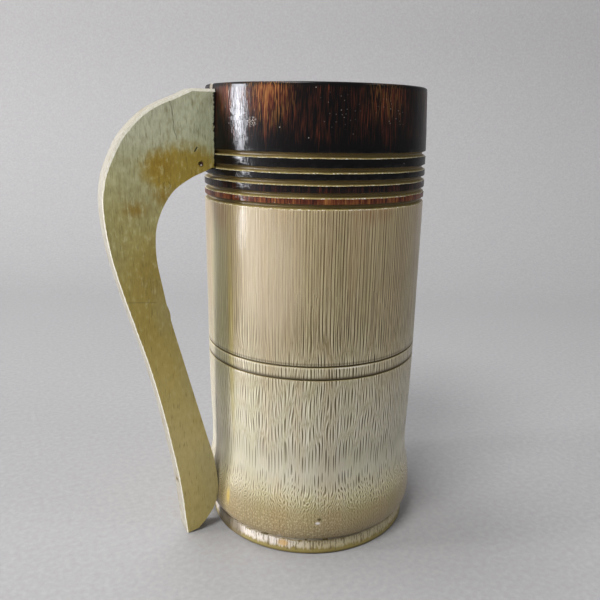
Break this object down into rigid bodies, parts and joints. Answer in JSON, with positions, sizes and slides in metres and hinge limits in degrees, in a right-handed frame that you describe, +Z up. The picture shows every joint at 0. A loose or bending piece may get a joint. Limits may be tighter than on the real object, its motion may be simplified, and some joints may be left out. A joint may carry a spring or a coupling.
{
  "type": "bamboo mug",
  "caption": "Tall round bamboo mug closed below by its node, with a grooved dark band under the rim and a flat sawn plank handle.",
  "frame": {"origin": "on the culm's axis, in the plane of the foot that the cup stands on", "axes": "+Z up along the culm's axis to the mouth, -X along the handle, +Y across the handle's plank"},
  "size_m": [0.1356, 0.0938, 0.1883],
  "materials": {
    "culm": "clear lacquer, burnt dark above the grooves",
    "plank": "sawn and lightly sealed",
    "nail": "dull wire nail"
  },
  "bodies": {
    "root": {"cup_body": "culm", "handle": "plank", "upper_nail": "nail", "lower_nail": "nail"}
  },
  "joints": []
}
